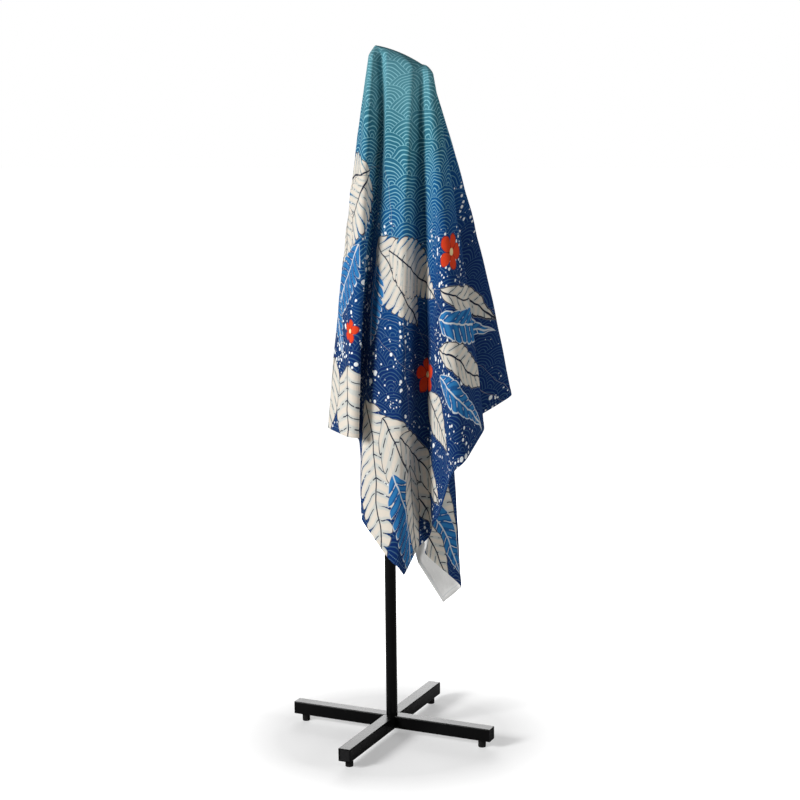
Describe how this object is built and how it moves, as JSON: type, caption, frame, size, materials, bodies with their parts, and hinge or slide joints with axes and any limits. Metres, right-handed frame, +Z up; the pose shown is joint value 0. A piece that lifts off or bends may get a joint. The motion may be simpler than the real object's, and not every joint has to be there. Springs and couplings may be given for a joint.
{
  "type": "beach towel on a stand",
  "caption": "Printed beach towel draped in deep folds over the short arm of a black tube stand with a cross base.",
  "frame": {"origin": "on the floor, under the post's axis, at the middle of the cross base", "axes": "+Z up along the post; the arms of the cross base lie along X and Y; -Y to the towel's front"},
  "size_m": [0.42, 0.4243, 1.3226],
  "materials": {
    "black_paint": "satin",
    "black_plastic": "matte",
    "black_rubber": "matte",
    "printed_cloth": "matte, printed outside, plain pale back"
  },
  "bodies": {
    "root": {"beam_long": "black_paint", "beam_back": "black_paint", "beam_front": "black_paint", "plug_right": "black_plastic", "plug_back": "black_plastic", "plug_left": "black_plastic", "plug_front": "black_plastic", "foot_right": "black_rubber", "foot_back": "black_rubber", "foot_left": "black_rubber", "foot_front": "black_rubber", "post": "black_paint", "post_cap": "black_plastic", "hanger_arm": "black_paint", "towel": "printed_cloth"}
  },
  "joints": []
}
